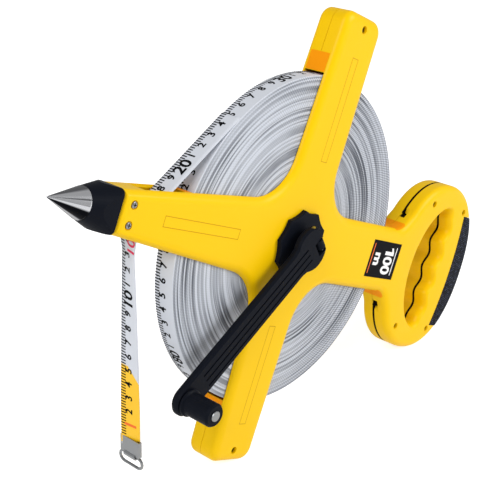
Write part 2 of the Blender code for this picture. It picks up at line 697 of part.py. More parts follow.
def add_crank():
    """The folding crank and its turning handle."""
    front = CRANK_FRONT_Y - FOLD_Y
    back = CRANK_BACK_Y - FOLD_Y
    narrow = crank_outline(1.2 * MM)
    wide = crank_outline(0.0)
    levels = [(front, narrow), (front + 1.6 * MM, wide), (back - 1 * MM, wide)]
    levels.append((back, crank_outline(0.8 * MM)))
    arm = add_mesh("crank_arm", loft(levels), BLACK, CRANK)
    cut(arm, "fork", block(-12 * MM, SLOT_END, -9 * MM, 9 * MM, *SLOT_SIDES), CRANK)
    trim = add_mesh("ear_trim", block(-12 * MM, 0, -9 * MM, 9 * MM, -20 * MM, 20 * MM), parent=CRANK)
    boolean(trim, add_mesh("ear_round", cross_bar(FOLD_ROUND, 25 * MM, 24), parent=CRANK))
    boolean(arm, trim)
    cut(arm, "pin_bore", cross_bar(FOLD_PIN_RADIUS + 0.1 * MM, 20 * MM), CRANK)
    tip = (FOLD_RADIUS + CRANK_RADIUS, 0, 0)
    cut(arm, "rivet_bore", bar(BOLT_RADIUS + 0.1 * MM, -9 * MM, 9 * MM), CRANK, tip)
    for i, z in enumerate(GROOVE_PLACES):
        sides = (z - GROOVE_HALF, z + GROOVE_HALF)
        groove = block(GROOVE_START, GROOVE_END, front - 1 * MM, front + 0.7 * MM, *sides)
        cut(arm, f"groove_{i}", groove, CRANK)
    add_mesh("crank_hinge_pin", cross_bar(FOLD_PIN_RADIUS, 12.4 * MM, 20), STEEL, CRANK)

    def from_fold(profile):
        return [(radius * MM, y * MM - FOLD_Y) for radius, y in profile]

    rivet = [(0, -19.5), (3.4, -19.5), (3.4, -20.7), (2.0, -20.7), (2.0, -50.2)]
    rivet += [(3.6, -50.2), (3.4, -50.6), (2.6, -50.8), (0, -50.8)]
    add_mesh("handle_rivet", turned(from_fold(rivet), 24), STEEL, CRANK, tip)
    washer = [(2.2, -26.6), (5.0, -26.6), (5.0, -27.1), (2.2, -27.1)]
    add_mesh("handle_washer", turned(from_fold(washer), 24, closed=True), STEEL, CRANK, tip)
    handle = [(2.06, -27.4), (9.2, -27.4), (9.2, -28.8), (8.0, -29.6)]
    handle += [(8.0, -48.4), (6.9, -49.9), (2.06, -49.9)]
    add_mesh("crank_handle", turned(from_fold(handle), 32, closed=True), BLACK, CRANK, tip)


def ribbon(points, half_thickness, half_width):
    """A flat strip along (x, z) points, its width along Y."""
    bm = bmesh.new()
    sections = []
    for i, point in enumerate(points):
        before = Vector(points[max(i - 1, 0)])
        after = Vector(points[min(i + 1, len(points) - 1)])
        along = (after - before).normalized()
        side = Vector((-along.y, along.x)) * half_thickness
        here = Vector(point)
        section = []
        for edge, y in ((side, -1), (side, 1), (-side, 1), (-side, -1)):
            spot = here + edge
            section.append(bm.verts.new((spot.x, y * half_width, spot.y)))
        sections.append(section)
    for lower, upper in zip(sections, sections[1:]):
        for i in range(4):
            j = (i + 1) % 4
            bm.faces.new((lower[i], lower[j], upper[j], upper[i]))
    bm.faces.new(sections[0])
    bm.faces.new(sections[-1])
    return bm


def free_path():
    """The free tape's centre line: off the roll, round the guide roller and down."""
    roll_reach = ROLL_RADIUS + GAP + TAPE_THICKNESS / 2
    roller_reach = ROLLER_RADIUS + GAP + TAPE_THICKNESS / 2
    distance = math.hypot(ROLLER_X, ROLLER_Z)
    bearing = math.degrees(math.atan2(ROLLER_Z, ROLLER_X)) % 360
    leave = bearing - math.degrees(math.acos((roll_reach - roller_reach) / distance))
    start = arc((0, 0), roll_reach, leave, leave, 1)[0]
    turn = arc((ROLLER_X, ROLLER_Z), roller_reach, leave, 180 + HANG_ANGLE, 8)
    x, z = turn[-1]
    hang = math.radians(HANG_ANGLE)
    end = (x + FREE_DROP * math.sin(hang), z - FREE_DROP * math.cos(hang))
    return [start] + turn + [end]


def add_free_tape():
    """The free run of tape with its end clamp and ring, hanging from the guide roller."""
    path = free_path()
    add_mesh("tape_free_run", ribbon(path, TAPE_THICKNESS / 2, TAPE_WIDTH / 2), TAPE_WHITE)
    x, z = path[-1]
    tail = new_empty("tail_frame", (x, 0, z), -math.radians(HANG_ANGLE), REEL)
    clamp = block(-1.2 * MM, 1.2 * MM, -8.8 * MM, 8.8 * MM, -5 * MM, 7 * MM)
    clamp = add_mesh("tape_end_clamp", clamp, STEEL, tail)
    sleeve = turned([(0, -5 * MM), (2.3 * MM, -5 * MM), (2.3 * MM, 5 * MM), (0, 5 * MM)], 20)
    join(clamp, "sleeve", sleeve, tail, (0, 0, -5.6 * MM))
    slot = block(-0.5 * MM, 0.5 * MM, -8.2 * MM, 8.2 * MM, -0.5 * MM, 9 * MM)
    cut(clamp, "tape_slot", slot, tail)
    cut(clamp, "ring_bore", bar(1.4 * MM, -9 * MM, 9 * MM), tail, (0, 0, -5.6 * MM))
    curve = bpy.data.curves.new("tape_end_ring", "CURVE")
    curve.dimensions = "3D"
    curve.bevel_depth = 1.0 * MM
    curve.bevel_resolution = 2
    spline = curve.splines.new("POLY")
    ends = arc((6.5 * MM, -9.5 * MM), 3.9 * MM, 90, -90, 6)
    ends += arc((-6.5 * MM, -9.5 * MM), 3.9 * MM, 270, 90, 6)
    spline.points.add(len(ends) - 1)
    for point, (y, z) in zip(spline.points, ends):
        point.co = (0, y, z, 1)
    spline.use_cyclic_u = True
    curve.materials.append(get_material(STEEL))
    ring = bpy.data.objects.new("tape_end_ring", curve)
    ring.parent = tail
    PARTS.objects.link(ring)


add_frame()
add_screws()
add_spike()
add_guide()
add_reel()
add_crank()
add_free_tape()
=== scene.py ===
"""Looks for the surveyor tape reel: finer shells, printed tape, materials, floor, light and camera."""
import math

import bmesh
import bpy
from mathutils import Matrix, Vector


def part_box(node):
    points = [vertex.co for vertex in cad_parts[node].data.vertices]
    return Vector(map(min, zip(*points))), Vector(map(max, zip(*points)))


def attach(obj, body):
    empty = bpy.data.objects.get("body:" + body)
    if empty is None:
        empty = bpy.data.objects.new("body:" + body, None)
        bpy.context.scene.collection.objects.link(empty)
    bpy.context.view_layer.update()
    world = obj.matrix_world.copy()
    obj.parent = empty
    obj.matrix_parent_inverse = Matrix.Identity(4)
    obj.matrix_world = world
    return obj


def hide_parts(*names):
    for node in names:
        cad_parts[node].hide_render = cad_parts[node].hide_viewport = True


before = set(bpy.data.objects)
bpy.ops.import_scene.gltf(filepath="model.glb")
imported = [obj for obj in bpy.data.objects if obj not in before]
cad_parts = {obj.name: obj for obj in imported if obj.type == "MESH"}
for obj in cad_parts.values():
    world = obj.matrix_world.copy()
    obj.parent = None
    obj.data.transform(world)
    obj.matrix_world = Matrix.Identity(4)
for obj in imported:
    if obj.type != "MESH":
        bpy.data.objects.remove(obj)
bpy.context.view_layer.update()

# The reel's own frame: millimetres from the hub, X to the grip, Z up the upper arm, Y to the back
TILT = math.radians(24.5)
DRUM_HALF = 7.6
drum_low, drum_high = (Vector(corner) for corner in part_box("spool_drum"))
HUB = (drum_low + drum_high) / 2
HUB.y = drum_low.y + DRUM_HALF / 1000
REEL = Matrix.Translation(HUB) @ Matrix.Rotation(TILT, 4, "Y") @ Matrix.Scale(0.001, 4)
INTO_REEL = REEL.inverted()

# Frame shells
FACE_Y = 12.7
RIM_Y = 8.2
OUTSIDE_Y = 14
WALL = 2.2
SEAM = 0.15
EDGE_START_Y = RIM_Y - 0.6
EDGE_INSET = 7.0
CEILING_Y = 10.5
CEILING_INSET = 5.6
ARM_LENGTH = 163.1
ARM_TIP_HALF = 22.8
ARM_TIP_ROUND = 10
ARM_CORNER_ROUND = 34
SPIKE_END = (-178.4, 13.6)
SPIKE_CORNER = (-28.7, 28.7)
GRIP_CORNER = (24.4, 25.2)
NECK_CORNER = (137, 26.2)
NECK_ROUND = 16
GRIP_START_X = 150.0
GRIP_CENTRE_X = 201.0
GRIP_HALF_LENGTH = 59.5
GRIP_HALF_HEIGHT = 72.0
GRIP_POWER = 2.2
SPIKE_SOLID_X = -161.5
PAD_SOLID_X = 205
HUB_WALL = 21.2
HUB_BORE = 19
ROLL_ROOM = 120.0
# Where the deep shell walls take the orange painted shade: shadow and yellow light bounced between the walls
SHADE_TINT_DEPTH = 9.8
SHADE_TINT_START_X = 100
SHADE_TINT_REACH = 145
SHADE_TINT_HALF_HEIGHT = 34

# Hand hole
HOLE_BOW_X = 211
HOLE_BOW_REACH = 41.5
HOLE_BOW_HEIGHT = 53
HOLE_BOW_SWEEP = 74.6
HOLE_CORNER = (203.2, 46.0)
HOLE_CORNER_RADIUS = 5.4
GROOVE_X = 208.6
GROOVE_PITCH = 23.0
GROOVE_DEPTH = 2.7
HOLE_WALL = 8.0
FLARE_START_Y = 6.2
FLARE_DEPTH = 6.6
FLARE_WIDTH = 4.4
REAR_FLARE = ((-1.0, 0.0), (1.2, 0.0), (11.8, -1.4), (14.0, -0.9))

# Things let into the shells
PAD_HALF = 49.6
PAD_START_X = 236.5
PAD_BOW = 5.5
PAD_OUTER_X = 280
PAD_PROUD = 0.3
GASKET_ROOM_HALF = 1.05
NOTCH_Z = 36.5
SCREW_TO_TIP = 9
SCREWS = [(x, z) for x in (173.3, 227.8) for z in (53.0, -53.0)]
SCREWS += [(0, ARM_LENGTH - SCREW_TO_TIP), (0, SCREW_TO_TIP - ARM_LENGTH)]
SPIKE_SCREW_X = -169.0
SPIKE_SCREW_Z = 6.2
SLOT_Y = -13.16
LABEL_X = (98.6, 141.7)
LABEL_HALF = 15.1
LABEL_SEAT_Y = -12.2
ENGRAVED_Y = -FACE_Y - 0.04
LABEL_PRINT_Y = -FACE_Y - 0.03
LABEL_BOLD = 0.6

# Tape
ROLL_RADIUS = 118.0
ROLL_BORE = 29.8
PRINT_RADIUS = 115.4
TAPE_HALF = 7.8
TAPE_THIN_HALF = 0.22
ROLLER = (-149.6, -9.4)
ROLLER_REACH = 5.55
FREE_REACH = 118.55
HANG = math.radians(23.0)
ZERO_DROP = 145.2
FREE_DROP = 152.0
TWIST_AT_ROLLER = 18
TWIST_CHANGE = 26
TWIST_LENGTH = 125.0
TWIST_EASE = 14.0
MARK_STEP = 2
FIRST_ROLL_MARK = 250
TICK_HALF = 0.42
TICK_LENGTH = 4.2
LONG_TICK_LENGTH = 5.6
LEADER_LIFT = 0.25
PRINT_LIFT = 0.29
COLOUR_LIFT = 0.3
ROLL_PRINT_LIFT = 0.06
DIGIT_SIZE = 7.8
LARGE_DIGIT_SIZE = 12.2

# Wound edge pattern, per metre of radius or per turn
LINE_DENSITY = 620
SHADE_DENSITY = 70
ROW_FREQUENCY = 2094.0
DOT_FREQUENCY = 330.0

# View
CAMERA_PLACE = (-605.7, -426.8, 63.7)
CAMERA_TURN = (64.824, -0.995, -48.395)
LENS = 75.9
AIM = (0, 0, 0.15)


# ---------------------------------------------------------------- materials
def srgb(r, g, b):
    def lin(c):
        c /= 255
        return c / 12.92 if c <= 0.04045 else ((c + 0.055) / 1.055) ** 2.4
    return (lin(r), lin(g), lin(b), 1.0)


def math_node(tree, operation, *values):
    """A maths node fed with numbers or sockets."""
    node = tree.nodes.new("ShaderNodeMath")
    node.operation = operation
    for socket, value in zip(node.inputs, values):
        if isinstance(value, (int, float)):
            socket.default_value = value
        else:
            tree.links.new(value, socket)
    return node.outputs[0]


def map_range(tree, value, low, high, to_low, to_high):
    node = tree.nodes.new("ShaderNodeMapRange")
    for name, number in (("From Min", low), ("From Max", high), ("To Min", to_low), ("To Max", to_high)):
        node.inputs[name].default_value = number
    tree.links.new(value, node.inputs["Value"])
    return node.outputs["Result"]


def colour_by(tree, value, stops):
    """Feed the base colour from a value through (position, colour) stops."""
    ramp = tree.nodes.new("ShaderNodeValToRGB")
    elements = ramp.color_ramp.elements
    for element, (position, colour) in zip(elements, (stops[0], stops[-1])):
        element.position = position
        element.color = colour
    for position, colour in stops[1:-1]:
        elements.new(position).color = colour
    tree.links.new(value, ramp.inputs["Fac"])
    tree.links.new(ramp.outputs["Color"], tree.nodes["Principled BSDF"].inputs["Base Color"])


def bump_by(tree, height, strength, distance, invert=False):
    """Feed the normal from a height."""
    node = tree.nodes.new("ShaderNodeBump")
    node.inputs["Strength"].default_value = strength
    node.inputs["Distance"].default_value = distance
    node.invert = invert
    tree.links.new(height, node.inputs["Height"])
    tree.links.new(node.outputs["Normal"], tree.nodes["Principled BSDF"].inputs["Normal"])


def principled(name, colour, roughness, metallic=0.0, bump=0.0, bump_scale=900.0, shine=0.5):
    """A Principled material with fine procedural grain in its roughness and normal."""
    mat = bpy.data.materials.new(name)
    mat.use_nodes = True
    tree = mat.node_tree
    shader = tree.nodes["Principled BSDF"]
    shader.inputs["Base Color"].default_value = colour
    shader.inputs["Metallic"].default_value = metallic
    shader.inputs["Specular IOR Level"].default_value = shine
    coords = tree.nodes.new("ShaderNodeTexCoord")
    noise = tree.nodes.new("ShaderNodeTexNoise")
    noise.inputs["Scale"].default_value = bump_scale
    noise.inputs["Detail"].default_value = 3.0
    tree.links.new(coords.outputs["Object"], noise.inputs["Vector"])
    grain = map_range(tree, noise.outputs["Fac"], 0.0, 1.0, roughness - 0.05, roughness + 0.05)
    tree.links.new(grain, shader.inputs["Roughness"])
    if bump:
        bump_by(tree, noise.outputs["Fac"], bump, 0.0002)
    return mat


YELLOW = principled("yellow_plastic_look", srgb(251, 202, 0), 0.36, bump=0.1, bump_scale=2200, shine=0.15)
# Orange painted shade for the deep yellow walls: their shadow and the yellow light bounced into them
ORANGE_SHADE = principled("orange_painted_shade_look", srgb(255, 156, 0), 0.5, bump=0.1, shine=0.1)
# Darker yellow for the engraved lines: painted shade in their grooves
GROOVE_SHADE = principled("engraved_groove_shade_look", srgb(206, 148, 0), 0.5, shine=0.1)
BLACK = principled("black_plastic_look", srgb(17, 20, 28), 0.42, bump=0.2, bump_scale=2600, shine=0.05)
GASKET = principled("gasket_look", srgb(8, 8, 9), 0.6, shine=0.04)
STEEL = principled("plated_steel_look", srgb(158, 160, 162), 0.3, metallic=1.0, bump=0.1)
# Dark brownish steel for the screws sunk in recesses: painted shade of their recesses
SHADED_SCREW_STEEL = principled("recessed_screw_shade_look", srgb(84, 70, 40), 0.45, metallic=0.8)
GREY = principled("grey_plastic_look", srgb(60, 62, 66), 0.5)
# Black for the tape's print, also used as painted shade in the screw slots
PRINT_AND_SLOT_SHADE = principled("print_and_slot_shade_look", srgb(12, 12, 16), 0.55, shine=0.05)
PRINT_RED = principled("print_red_look", srgb(222, 36, 84), 0.55)
PRINT_ORANGE = principled("print_orange_look", srgb(245, 110, 20), 0.55)
WHITE = principled("print_white_look", srgb(246, 246, 246), 0.5)
LABEL = principled("label_look", srgb(20, 20, 24), 0.45, shine=0.03)
TAPE = principled("tape_white_look", srgb(214, 218, 226), 0.5, bump=0.08, shine=0.2)


def side_winding():
    """The roll's flank: fine wound edges with darker and lighter turns and a woven dotting."""
    mat = bpy.data.materials.new("tape_winding_look")
    mat.use_nodes = True
    tree = mat.node_tree
    tree.nodes["Principled BSDF"].inputs["Roughness"].default_value = 0.6
    coords = tree.nodes.new("ShaderNodeTexCoord")
    shift = tree.nodes.new("ShaderNodeMapping")
    shift.inputs["Location"].default_value = tuple(-HUB)
    tree.links.new(coords.outputs["Object"], shift.inputs["Vector"])
    parts = tree.nodes.new("ShaderNodeSeparateXYZ")
    tree.links.new(shift.outputs["Vector"], parts.inputs["Vector"])

    def calc(operation, *values):
        return math_node(tree, operation, *values)

    across, up = parts.outputs["X"], parts.outputs["Z"]
    radius = calc("SQRT", calc("ADD", calc("MULTIPLY", across, across), calc("MULTIPLY", up, up)))
    angle = calc("ARCTAN2", up, across)

    def turn_noise(radius_scale, angle_scale, detail, seed=0.0):
        """Noise that changes along the radius and slowly round the turn, without a seam."""
        mix = tree.nodes.new("ShaderNodeCombineXYZ")
        tree.links.new(calc("MULTIPLY", calc("ADD", radius, seed), radius_scale), mix.inputs["X"])
        tree.links.new(calc("MULTIPLY", calc("COSINE", angle), angle_scale), mix.inputs["Y"])
        tree.links.new(calc("MULTIPLY", calc("SINE", angle), angle_scale), mix.inputs["Z"])
        noise = tree.nodes.new("ShaderNodeTexNoise")
        noise.inputs["Scale"].default_value = 1.0
        noise.inputs["Detail"].default_value = detail
        tree.links.new(mix.outputs["Vector"], noise.inputs["Vector"])
        return noise.outputs["Fac"]

    lines = map_range(tree, turn_noise(LINE_DENSITY, 0.4, 4.0), 0.44, 0.58, 1.0, 0.0)
    depth = map_range(tree, turn_noise(SHADE_DENSITY, 1.2, 2.0, 0.7), 0.36, 0.64, 0.3, 0.8)
    rings = calc("SUBTRACT", 1.0, calc("MULTIPLY", lines, depth))
    rows = calc("SINE", calc("MULTIPLY", radius, ROW_FREQUENCY))
    weave = calc("MULTIPLY", calc("SINE", calc("MULTIPLY", angle, DOT_FREQUENCY)), rows)
    strength = map_range(tree, calc("COSINE", angle), -0.4, 0.5, 0.12, 0.62)
    dark_dots = calc("MULTIPLY", map_range(tree, weave, -0.2, 0.5, 0.0, 1.0), strength)
    tone = calc("MULTIPLY", rings, calc("SUBTRACT", 1.0, dark_dots))
    colour_by(tree, tone, ((0.1, srgb(56, 62, 74)), (0.95, srgb(206, 211, 221))))
    bump_by(tree, tone, 0.5, 0.0004)
    return mat


WINDING = side_winding()


def dotted_rubber():
    """Dark blue-black rubber with a fine raised dot pattern, the dot tops lighter blue-grey as a painted
    highlight.
    """
    mat = principled("black_rubber_look", srgb(20, 24, 34), 0.6, shine=0.1)
    tree = mat.node_tree
    dots = tree.nodes.new("ShaderNodeTexVoronoi")
    dots.inputs["Scale"].default_value = 480.0
    dots.inputs["Randomness"].default_value = 0.25
    tree.links.new(tree.nodes["Texture Coordinate"].outputs["Object"], dots.inputs["Vector"])
    bump_by(tree, dots.outputs["Distance"], 0.9, 0.0006, invert=True)
    # Lighter blue-grey where the dots rise: painted highlight
    colour_by(tree, dots.outputs["Distance"], ((0.12, srgb(92, 100, 126)), (0.4, srgb(7, 9, 14))))
    return mat


RUBBER = dotted_rubber()


def banded_chrome():
    """Polished metal with painted reflections: dark and light bands that run along the cone, converging at
    its tip.
    """
    mat = principled("chrome_painted_reflection_look", srgb(220, 222, 228), 0.2, metallic=1.0)
    tree = mat.node_tree
    place = tree.nodes.new("ShaderNodeMapping")
    place.vector_type = "TEXTURE"
    place.inputs["Location"].default_value = tuple(HUB)
    place.inputs["Rotation"].default_value = (0, TILT, 0)
    tree.links.new(tree.nodes["Texture Coordinate"].outputs["Object"], place.inputs["Vector"])
    parts = tree.nodes.new("ShaderNodeSeparateXYZ")
    tree.links.new(place.outputs["Vector"], parts.inputs["Vector"])
    to_front = math_node(tree, "MULTIPLY", parts.outputs["Y"], -1.0)
    angle = math_node(tree, "ARCTAN2", parts.outputs["Z"], to_front)
    share = map_range(tree, angle, -math.pi / 2, math.pi / 2, 0.0, 1.0)
    # Painted reflections: the grey of each band round the cone
    bands = ((0.0, 150), (0.13, 205), (0.17, 18), (0.40, 14), (0.44, 215), (0.60, 240),
             (0.63, 70), (0.66, 225), (0.82, 236), (0.88, 132), (1.0, 120))
    colour_by(tree, share, [(position, srgb(grey, grey + 1, grey + 5)) for position, grey in bands])
    return mat


REFLECTION_CHROME = banded_chrome()


# ---------------------------------------------------------------- outlines
def arc(centre, radius, start, end, steps):
    angles = [math.radians(start + (end - start) * i / steps) for i in range(steps + 1)]
    return [(centre[0] + radius * math.cos(a), centre[1] + radius * math.sin(a)) for a in angles]


def direction(vector):
    return math.degrees(math.atan2(vector.y, vector.x))


def rounded(corners, steps=14):
    """An open line through (x, z, radius) corners, each inner corner rounded to its radius."""
    points = [corners[0][:2]]
    for before, corner, after in zip(corners, corners[1:], corners[2:]):
        here = Vector(corner[:2])
        to_before = (Vector(before[:2]) - here).normalized()
        to_after = (Vector(after[:2]) - here).normalized()
        half = to_before.angle(to_after) / 2
        centre = here + (to_before + to_after).normalized() * corner[2] / math.sin(half)
        reach = corner[2] / math.tan(half)
        start = direction(here + to_before * reach - centre)
        sweep = (direction(here + to_after * reach - centre) - start + 180) % 360 - 180
        points += arc(centre, corner[2], start, start + sweep, steps)
    points.append(corners[-1][:2])
    return points


def offset(outline, distance):
    """The closed clockwise outline moved outwards by distance."""
    moved = []
    count = len(outline)
    for i in range(count):
        here = Vector(outline[i])
        ahead = (Vector(outline[(i + 1) % count]) - here).normalized()
        behind = (here - Vector(outline[i - 1])).normalized()
        first = Vector((-ahead.y, ahead.x))
        second = Vector((-behind.y, behind.x))
        bisector = (first + second).normalized()
        moved.append(tuple(here + bisector * distance / max(0.5, bisector.dot(first))))
    return moved


def mirrored(points):
    return [(x, -z) for x, z in reversed(points)]


def grip_arc(steps=48):
    """The grip's upper outline from its neck to its outermost point, a squarish ellipse."""
    start = math.acos((GRIP_START_X - GRIP_CENTRE_X) / GRIP_HALF_LENGTH)
    points = []
    for i in range(steps):
        share = math.cos(start * (1 - i / steps))
        height = GRIP_HALF_HEIGHT * (1 - abs(share) ** GRIP_POWER) ** (1 / GRIP_POWER)
        points.append((GRIP_CENTRE_X + GRIP_HALF_LENGTH * share, height))
    return points + [(GRIP_CENTRE_X + GRIP_HALF_LENGTH, 0.0)]


def frame_outline():
    shoulder = ARM_LENGTH - ARM_TIP_ROUND
    tip = arc((ARM_TIP_ROUND - ARM_TIP_HALF, shoulder), ARM_TIP_ROUND, 180, 90, 10)
    tip += [(-x, z) for x, z in reversed(tip)]
    grip = grip_arc()
    spike_side = rounded([(*SPIKE_END, 0), (*SPIKE_CORNER, ARM_CORNER_ROUND), (-ARM_TIP_HALF, shoulder, 0)])
    grip_side = rounded([(ARM_TIP_HALF, shoulder, 0), (*GRIP_CORNER, ARM_CORNER_ROUND),
                         (*NECK_CORNER, NECK_ROUND), (*grip[0], 0)])
    upper = spike_side + tip[1:-1] + grip_side + grip[1:]
    return upper + mirrored(upper[:-1])


def hole_outline(depth):
    """The hand hole: a bow on the hub's side, two round ends and finger grooves of the given depth."""
    bow = []
    for i in range(41):
        angle = math.radians(HOLE_BOW_SWEEP * (i / 20 - 1))
        bow.append((HOLE_BOW_X - HOLE_BOW_REACH * math.cos(angle), HOLE_BOW_HEIGHT * math.sin(angle)))
    upper = arc(HOLE_CORNER, HOLE_CORNER_RADIUS, 76, 12, 6)
    grooves = []
    for i in range(81):
        z = HOLE_CORNER[1] * (1 - i / 40)
        grooves.append((GROOVE_X + depth * (1 - math.cos(math.tau * z / GROOVE_PITCH)), z))
    return bow + upper + grooves + mirrored(upper)


# ---------------------------------------------------------------- solids
def loft(levels):
    """A closed skin over (y, outline) levels of equal point counts."""
    bm = bmesh.new()
    loops = [[bm.verts.new((x, y, z)) for x, z in outline] for y, outline in levels]
    for lower, upper in zip(loops, loops[1:]):
        for i in range(len(lower)):
            j = (i + 1) % len(lower)
            bm.faces.new((lower[i], lower[j], upper[j], upper[i]))
    bm.faces.new(loops[0])
    bm.faces.new(loops[-1])
    return bm


def turned(profile, steps, closed=False):
    """A (radius, y) profile turned about the hub's axis."""
    bm = bmesh.new()
    rings = []
    turns = [math.tau * i / steps for i in range(steps)]
    for radius, y in profile:
        if radius == 0:
            rings.append([bm.verts.new((0, y, 0))] * steps)
        else:
            rings.append([bm.verts.new((radius * math.cos(t), y, radius * math.sin(t))) for t in turns])
    pairs = list(zip(rings, rings[1:]))
    if closed:
        pairs.append((rings[-1], rings[0]))
    for lower, upper in pairs:
        for i in range(steps):
            j = (i + 1) % steps
            bm.faces.new(list(dict.fromkeys((lower[i], lower[j], upper[j], upper[i]))))
    return bm


def bar(radius, low, high, steps=40):
    return turned([(0, low), (radius, low), (radius, high), (0, high)], steps)


def block(x_low, x_high, y_low, y_high, z_low, z_high):
    bm = bmesh.new()
    bmesh.ops.create_cube(bm, size=1.0)
    size = Matrix.Diagonal((x_high - x_low, abs(y_high - y_low), z_high - z_low, 1))
    middle = Vector((x_low + x_high, y_low + y_high, z_low + z_high)) / 2
    bmesh.ops.transform(bm, matrix=Matrix.Translation(middle) @ size, verts=bm.verts)
    return bm


def make(name, bm, materials=(), place=(0, 0, 0)):
    """Link a bmesh given in reel millimetres, moved into the shared frame."""
    if any(place):
        bmesh.ops.translate(bm, vec=place, verts=bm.verts)
    bmesh.ops.recalc_face_normals(bm, faces=bm.faces)
    mesh = bpy.data.meshes.new(name)
    bm.to_mesh(mesh)
    bm.free()
    mesh.transform(REEL)
    for mat in materials:
        mesh.materials.append(mat)
    obj = bpy.data.objects.new(name, mesh)
    bpy.context.scene.collection.objects.link(obj)
    return obj


def riding(name, bm, mat, body="frame"):
    """A piece of one material that moves with a body."""
    obj = make(name, bm, (mat,))
    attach(obj, body)
    return obj


def rectangle(x_low, x_high, z_low, z_high, y):
    return [(x_low, y, z_low), (x_high, y, z_low), (x_high, y, z_high), (x_low, y, z_high)]


def flat_piece(name, outlines, mat):
    """Flat faces through (x, y, z) corners, as one piece on the frame."""
    bm = bmesh.new()
    for corners in outlines:
        bm.faces.new([bm.verts.new(corner) for corner in corners])
    riding(name, bm, mat)


def smooth(obj, angle):
    obj.data.shade_smooth()
    obj.data.set_sharp_from_angle(angle=math.radians(angle))


def carve(obj, tools, operation="DIFFERENCE"):
    """Apply exact booleans with each tool in turn and remove the tools."""
    for tool in tools:
        modifier = obj.modifiers.new(tool.name, "BOOLEAN")
        modifier.object = tool
        modifier.operation = operation
        modifier.solver = "EXACT"
    graph = bpy.context.evaluated_depsgraph_get()
    baked = bpy.data.meshes.new_from_object(obj.evaluated_get(graph))
    obj.modifiers.clear()
    obj.data = baked
    for tool in tools:
        bpy.data.objects.remove(tool, do_unlink=True)
    return obj


def text_mesh(text, size, bold, resolution=12):
    """A flat mesh of centred text in the XY plane."""
    curve = bpy.data.curves.new("text", "FONT")
    curve.body = text
    curve.align_x = "CENTER"
    curve.align_y = "CENTER"
    curve.size = size
    curve.offset = bold
    curve.resolution_u = resolution
    holder = bpy.data.objects.new("text", curve)
    bpy.context.scene.collection.objects.link(holder)
    bpy.context.view_layer.update()
    graph = bpy.context.evaluated_depsgraph_get()
    mesh = bpy.data.meshes.new_from_object(holder.evaluated_get(graph))
    bpy.data.objects.remove(holder, do_unlink=True)
    return mesh


# ---------------------------------------------------------------- shells and pad
def rounded_edge():
    """(y, inset) steps from the seam over the rounded rim to the face."""
    edge = [(SEAM, 0.0), (EDGE_START_Y, 0.0)]
    for step in range(1, 10):
        turn = math.radians(10 * step)
        y = EDGE_START_Y + (FACE_Y - EDGE_START_Y) * math.sin(turn)
        edge.append((y, EDGE_INSET * (1 - math.cos(turn))))
    return edge


FRAME = frame_outline()
HOLE = hole_outline(GROOVE_DEPTH)
EDGE = rounded_edge()


def both_sides(levels):
    return [(-y, outline) for y, outline in reversed(levels)] + levels


def pad_room(name, slack, inset):
    """The outer bar of the grip minus its own inset core: the room that the pad fills."""
    levels = [(y - inset * 0.8, offset(FRAME, -out - inset * 0.6)) for y, out in EDGE[1:]]
    core = make(f"{name}_core", loft(both_sides(levels)))
    half = PAD_HALF + slack
    outline = [(PAD_OUTER_X, half), (PAD_OUTER_X, -half)]
    for i in range(33):
        share = i / 16 - 1
        outline.append((PAD_START_X - slack - PAD_BOW * share**2, half * share))
    room = make(name, loft([(-20, outline), (20, outline)]))
    return carve(room, [core])


def shell_hollow(side):
    """The space inside one half, minus the walls and solid ends that stay."""
    inner = offset(FRAME, -WALL)
    ceiling = (side * CEILING_Y, offset(FRAME, -CEILING_INSET))
    hollow = make("hollow", loft([(-side, inner), (side * RIM_Y, inner), ceiling]))
    low, high = sorted((-side * 2, side * OUTSIDE_Y))
    ring = [(ROLL_ROOM, low), (ROLL_ROOM + WALL, low), (ROLL_ROOM + WALL, high), (ROLL_ROOM, high)]
    hole_wall = offset(hole_outline(0.0), HOLE_WALL)
    keep = [make("room_wall", turned(ring, 160, closed=True)),
            make("hub_wall", bar(HUB_WALL, low, high)),
            make("spike_end", block(-185, SPIKE_SOLID_X, low, high, -30, 30)),
            make("pad_bar", block(PAD_SOLID_X, PAD_OUTER_X, low, high, -55, 55)),
            make("hole_wall", loft([(low, hole_wall), (high, hole_wall)]))]
    return carve(hollow, keep)


def hole_flare(side):
    """(y, widening) steps of the hand hole, round-edged in front and drafted behind."""
    if side > 0:
        return REAR_FLARE
    flare = [(-1.0, 0.0), (FLARE_START_Y, 0.0)]
    for step in range(1, 9):
        turn = math.radians(step * 90 / 8)
        flare.append((FLARE_START_Y + FLARE_DEPTH * math.sin(turn), FLARE_WIDTH * (1 - math.cos(turn))))
    return flare + [(OUTSIDE_Y, 5.0)]


def screw_sink(name, x, z, mouth, bore, lip_y, floor_y):
    """A round sink for a screw head, a little wider at the face."""
    profile = [(0, -OUTSIDE_Y), (mouth, -OUTSIDE_Y), (bore, lip_y), (bore, floor_y), (0, floor_y)]
    return make(name, turned(profile, 28), place=(x, 0, z))


def front_cuts():
    """What only the front half has: screw sinks, the label's seat and the notches at the grip."""
    cuts = [screw_sink("clamp_sink", x, z, 3.1, 2.7, -12.4, -8.9) for x, z in SCREWS]
    cuts += [screw_sink("spike_sink", SPIKE_SCREW_X, z, 3.2, 2.8, -12.3, -11.7)
             for z in (SPIKE_SCREW_Z, -SPIKE_SCREW_Z)]
    cuts.append(make("label_seat", block(*LABEL_X, -OUTSIDE_Y, LABEL_SEAT_Y, -LABEL_HALF, LABEL_HALF)))
    for z in (NOTCH_Z, -NOTCH_Z):
        cuts.append(make("notch", block(145.5, 151.5, -4.4, 0.5, z - 8, z + 8)))
    return cuts


